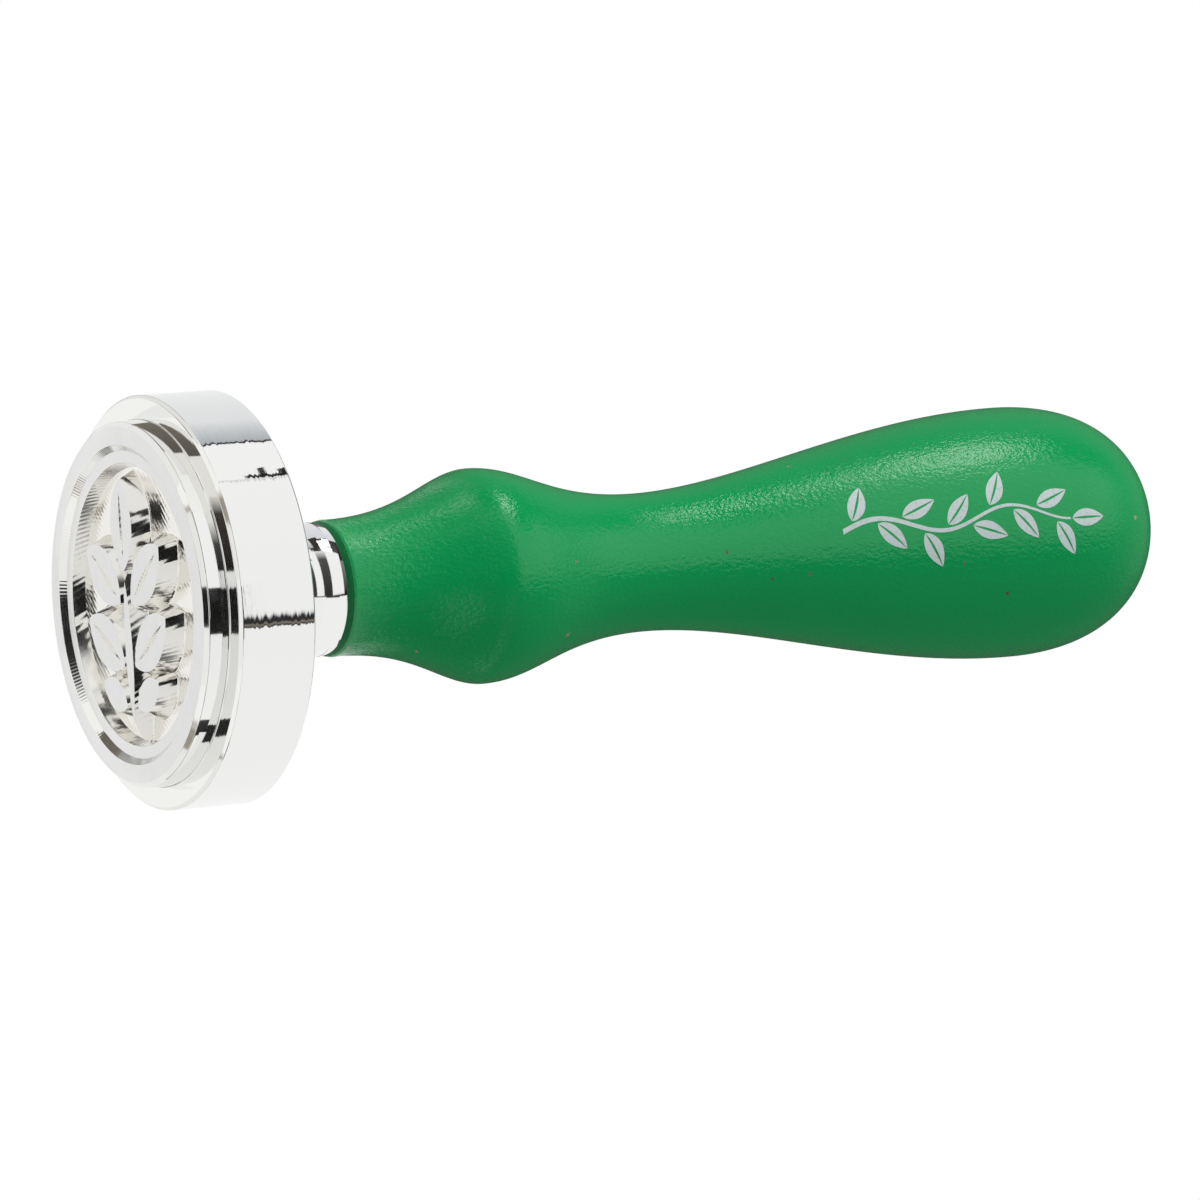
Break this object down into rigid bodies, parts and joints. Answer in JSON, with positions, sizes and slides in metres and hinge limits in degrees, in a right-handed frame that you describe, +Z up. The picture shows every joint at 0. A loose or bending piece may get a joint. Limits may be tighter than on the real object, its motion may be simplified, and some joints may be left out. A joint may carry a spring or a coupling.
{
  "type": "seal stamp",
  "caption": "Hand seal stamp: a plated round die head with a leaf relief inside a raised rim, screwed through a ball collar onto a turned, painted wooden handle.",
  "frame": {"origin": "centre of the face of the die's rim, which the stamp stands on", "axes": "+Z up the handle's axis, away from the die; the leaf relief on the die grows towards -X"},
  "size_m": [0.038, 0.038, 0.1086],
  "materials": {
    "plated_head": "bright nickel plate with satin lands",
    "plated_collar": "mirror plate",
    "bolt_steel": "zinc plated",
    "painted_wood": "semi-gloss green paint on turned wood"
  },
  "bodies": {
    "head": {"stamp_head": "plated_head"},
    "collar_ring": {"collar": "plated_collar"},
    "grip": {"handle": "painted_wood", "hanger_bolt": "bolt_steel"}
  },
  "joints": [
    {"name": "unscrew_lift", "type": "slide", "parent": "head", "child": "collar_ring", "axis": [0, 0, 1], "range_m": [0, 0.0055]},
    {"name": "unscrew_turn", "type": "hinge", "parent": "collar_ring", "child": "grip", "pos_m": [0, 0, 0.0195], "axis": [0, 0, 1], "range_deg": [0, 1980]}
  ],
  "couplings": [
    {"joint": "unscrew_turn", "follows": "unscrew_lift", "rad_per_m": 6283.2}
  ]
}
